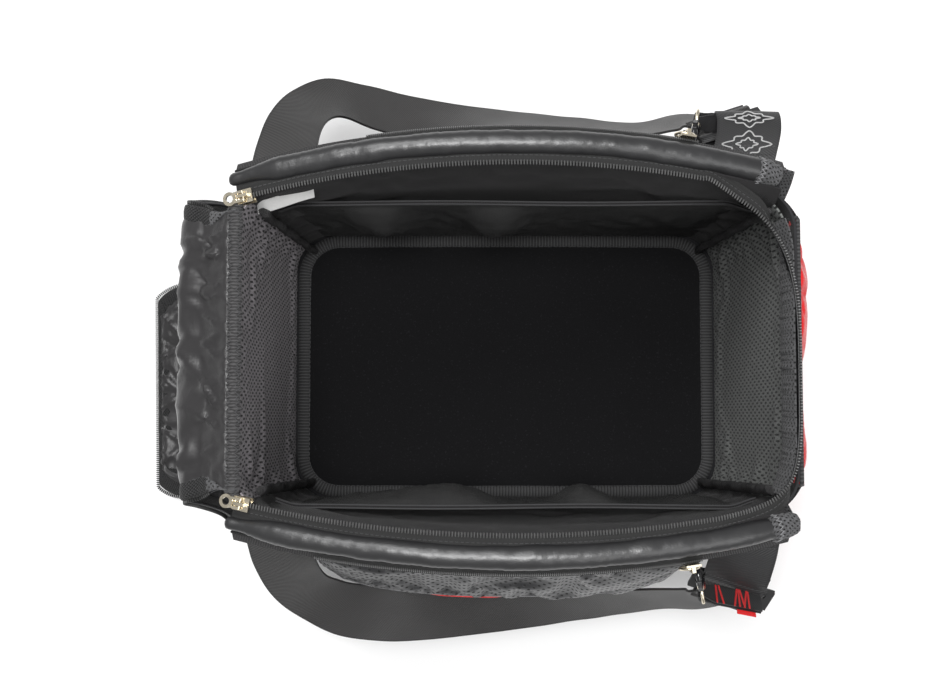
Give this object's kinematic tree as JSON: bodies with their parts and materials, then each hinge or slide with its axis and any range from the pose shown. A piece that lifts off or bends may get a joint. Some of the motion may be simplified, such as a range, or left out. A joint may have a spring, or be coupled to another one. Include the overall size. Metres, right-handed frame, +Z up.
{
  "type": "skate bag",
  "caption": "Soft box-shaped skate bag with an arched rim, a zipped fold-back lid, bellows pockets, a lined inside and webbing straps with snap hooks.",
  "frame": {"origin": "centre of the bag's underside, on the floor", "axes": "+Z up; +X along the bag, to the end where the main zip runs round the corners; +Y to the back; the lid hinges at -X"},
  "size_m": [0.5219, 0.432, 0.291],
  "materials": {
    "black_mesh": "fine black net",
    "black_metal": "glossy black",
    "black_plastic": "black acetal",
    "board": "stiff plastic board",
    "floor_felt": "black felt",
    "foam": "grey foam sheet",
    "gilt_metal": "polished light gilt",
    "grey_mesh": "heather grey air mesh with oval holes",
    "grosgrain": "ribbed black binding tape",
    "label_fabric": "white satin, blank",
    "perforated_leatherette": "dark grey synthetic leather with punched dots",
    "red_fabric": "bright red woven fabric",
    "rim_leatherette": "smooth black synthetic leather, padded",
    "satin_lining": "grey satin, wrinkled",
    "shell_fabric": "black woven polyester, slightly shiny",
    "wall_lining_fabric": "smooth dark lining",
    "webbing": "black polyester webbing, fine ribs",
    "zip_coil": "black nylon coil",
    "zip_tape": "black knitted tape"
  },
  "bodies": {
    "bag": {"bottom_panel": "shell_fabric", "base_board": "board", "floor_pad": "floor_felt", "floor_pad_binding": "grosgrain", "front_wall": "shell_fabric", "back_wall": "shell_fabric", "left_wall": "shell_fabric", "right_wall": "shell_fabric", "wall_foam": "foam", "front_lining": "wall_lining_fabric", "back_lining": "wall_lining_fabric", "left_lining": "grey_mesh", "right_lining": "grey_mesh", "corner_bindings": "grosgrain", "label": "label_fabric", "front_rim_roll": "rim_leatherette", "back_rim_roll": "rim_leatherette", "rim_corner_patches": "grey_mesh", "main_zip_tape": "zip_tape", "main_zip_teeth": "zip_coil", "front_pocket": "perforated_leatherette", "back_pocket": "perforated_leatherette", "end_pocket": "red_fabric", "front_pocket_zip": "zip_coil", "back_pocket_zip": "zip_coil", "front_mesh_pocket": "black_mesh", "back_mesh_pocket": "black_mesh", "mesh_pocket_elastics": "grosgrain", "strap_anchors": "webbing"},
    "lid_a": {"lid_shell_a": "shell_fabric", "lid_lining_a": "satin_lining", "lid_zip_a": "zip_coil"},
    "lid_b": {"lid_shell_b": "shell_fabric", "lid_lining_b": "satin_lining", "lid_zip_b": "zip_coil"},
    "lid_c": {"lid_shell_c": "shell_fabric", "lid_lining_c": "satin_lining", "lid_zip_c": "zip_coil"},
    "front_main_slider": {"front_main_slider": "gilt_metal"},
    "front_main_puller": {"front_main_puller": "gilt_metal"},
    "front_pocket_slider": {"front_pocket_slider": "gilt_metal"},
    "front_pocket_puller": {"front_pocket_puller": "gilt_metal"},
    "front_strap": {"front_strap": "webbing", "front_strap_tab": "webbing", "front_strap_end_strip": "webbing", "front_slide_buckle": "black_plastic"},
    "front_swivel_ring": {"front_swivel_ring": "gilt_metal"},
    "front_snap_hook": {"front_snap_hook": "black_metal"},
    "front_hook_gate": {"front_hook_gate": "black_metal"},
    "back_main_slider": {"back_main_slider": "gilt_metal"},
    "back_main_puller": {"back_main_puller": "gilt_metal"},
    "back_pocket_slider": {"back_pocket_slider": "gilt_metal"},
    "back_pocket_puller": {"back_pocket_puller": "gilt_metal"},
    "back_strap": {"back_strap": "webbing", "back_strap_tab": "webbing", "back_strap_end_strip": "webbing", "back_slide_buckle": "black_plastic"},
    "back_swivel_ring": {"back_swivel_ring": "gilt_metal"},
    "back_snap_hook": {"back_snap_hook": "black_metal"},
    "back_hook_gate": {"back_hook_gate": "black_metal"}
  },
  "joints": [
    {"name": "lid_hinge", "type": "hinge", "parent": "bag", "child": "lid_a", "pos_m": [-0.184, 0, 0.26278], "axis": [0, 1, 0], "range_deg": [0, 194.9]},
    {"name": "lid_fold_b", "type": "hinge", "parent": "lid_a", "child": "lid_b", "pos_m": [-0.22949, 0, 0.23929], "axis": [0.101, 0.9945, 0.0269], "range_deg": [0, 79.5]},
    {"name": "lid_fold_c", "type": "hinge", "parent": "lid_b", "child": "lid_c", "pos_m": [-0.20739, -0.019, 0.02714], "axis": [0.0953, 0.9908, 0.0963], "range_deg": [-73.7, 0]},
    {"name": "front_zip_run", "type": "hinge", "parent": "bag", "child": "front_main_slider", "pos_m": [0, 0.25053, -0.14721], "axis": [0, 0.7604, 0.6495], "range_deg": [0, 35.04]},
    {"name": "front_main_puller_swing", "type": "hinge", "parent": "front_main_slider", "child": "front_main_puller", "pos_m": [-0.17931, -0.10084, 0.26965], "axis": [0.2029, 0.9789, 0.0247], "range_deg": [0, 150]},
    {"name": "front_pocket_zip_run", "type": "hinge", "parent": "bag", "child": "front_pocket_slider", "pos_m": [0, 0.25053, -0.14721], "axis": [0, -0.7604, -0.6495], "range_deg": [0, 23.5]},
    {"name": "front_pocket_puller_swing", "type": "hinge", "parent": "front_pocket_slider", "child": "front_pocket_puller", "pos_m": [0.11379, -0.14228, 0.27069], "axis": [-0.9808, -0.1265, 0.1481], "range_deg": [0, 100]},
    {"name": "front_strap_swing", "type": "hinge", "parent": "bag", "child": "front_strap", "pos_m": [0, -0.1285, 0.2235], "axis": [-1, 0, 0], "range_deg": [0, 85]},
    {"name": "front_ring_swing", "type": "hinge", "parent": "front_strap", "child": "front_swivel_ring", "pos_m": [0.133, -0.1675, 0.204], "axis": [-0.0541, -0.7504, 0.6587], "range_deg": [-54, 0]},
    {"name": "front_hook_swivel", "type": "hinge", "parent": "front_swivel_ring", "child": "front_snap_hook", "pos_m": [0.13075, -0.16166, 0.21047], "axis": [-0.2496, 0.6489, 0.7188], "continuous": true},
    {"name": "front_gate_spring", "type": "hinge", "parent": "front_snap_hook", "child": "front_hook_gate", "pos_m": [0.12786, -0.15992, 0.22208], "axis": [-0.9668, -0.1255, -0.2224], "range_deg": [0, 32], "stiffness_Nm_per_rad": 0.02, "springref_deg": -11.46},
    {"name": "back_zip_run", "type": "hinge", "parent": "bag", "child": "back_main_slider", "pos_m": [0, -0.25053, -0.14721], "axis": [0, 0.7604, -0.6495], "range_deg": [0, 35.04]},
    {"name": "back_main_puller_swing", "type": "hinge", "parent": "back_main_slider", "child": "back_main_puller", "pos_m": [-0.17931, 0.10084, 0.26965], "axis": [-0.2029, 0.9789, -0.0247], "range_deg": [0, 150]},
    {"name": "back_pocket_zip_run", "type": "hinge", "parent": "bag", "child": "back_pocket_slider", "pos_m": [0, -0.25053, -0.14721], "axis": [0, -0.7604, 0.6495], "range_deg": [0, 20.32]},
    {"name": "back_pocket_puller_swing", "type": "hinge", "parent": "back_pocket_slider", "child": "back_pocket_puller", "pos_m": [0.11379, 0.14228, 0.27069], "axis": [0.9808, -0.1265, -0.1481], "range_deg": [0, 100]},
    {"name": "back_strap_swing", "type": "hinge", "parent": "bag", "child": "back_strap", "pos_m": [0, 0.1285, 0.2235], "axis": [1, 0, 0], "range_deg": [0, 85]},
    {"name": "back_ring_swing", "type": "hinge", "parent": "back_strap", "child": "back_swivel_ring", "pos_m": [0.133, 0.1675, 0.204], "axis": [0.0541, -0.7504, -0.6587], "range_deg": [-8, 0]},
    {"name": "back_hook_swivel", "type": "hinge", "parent": "back_swivel_ring", "child": "back_snap_hook", "pos_m": [0.13075, 0.16166, 0.21047], "axis": [0.2496, 0.6489, -0.7188], "continuous": true},
    {"name": "back_gate_spring", "type": "hinge", "parent": "back_snap_hook", "child": "back_hook_gate", "pos_m": [0.12786, 0.15992, 0.22208], "axis": [0.9668, -0.1255, 0.2224], "range_deg": [0, 32], "stiffness_Nm_per_rad": 0.02, "springref_deg": -11.46}
  ],
  "couplings": [
    {"joint": "lid_fold_b", "follows": "lid_hinge", "ratio": 0.40789},
    {"joint": "lid_fold_c", "follows": "lid_hinge", "ratio": -0.37813}
  ]
}
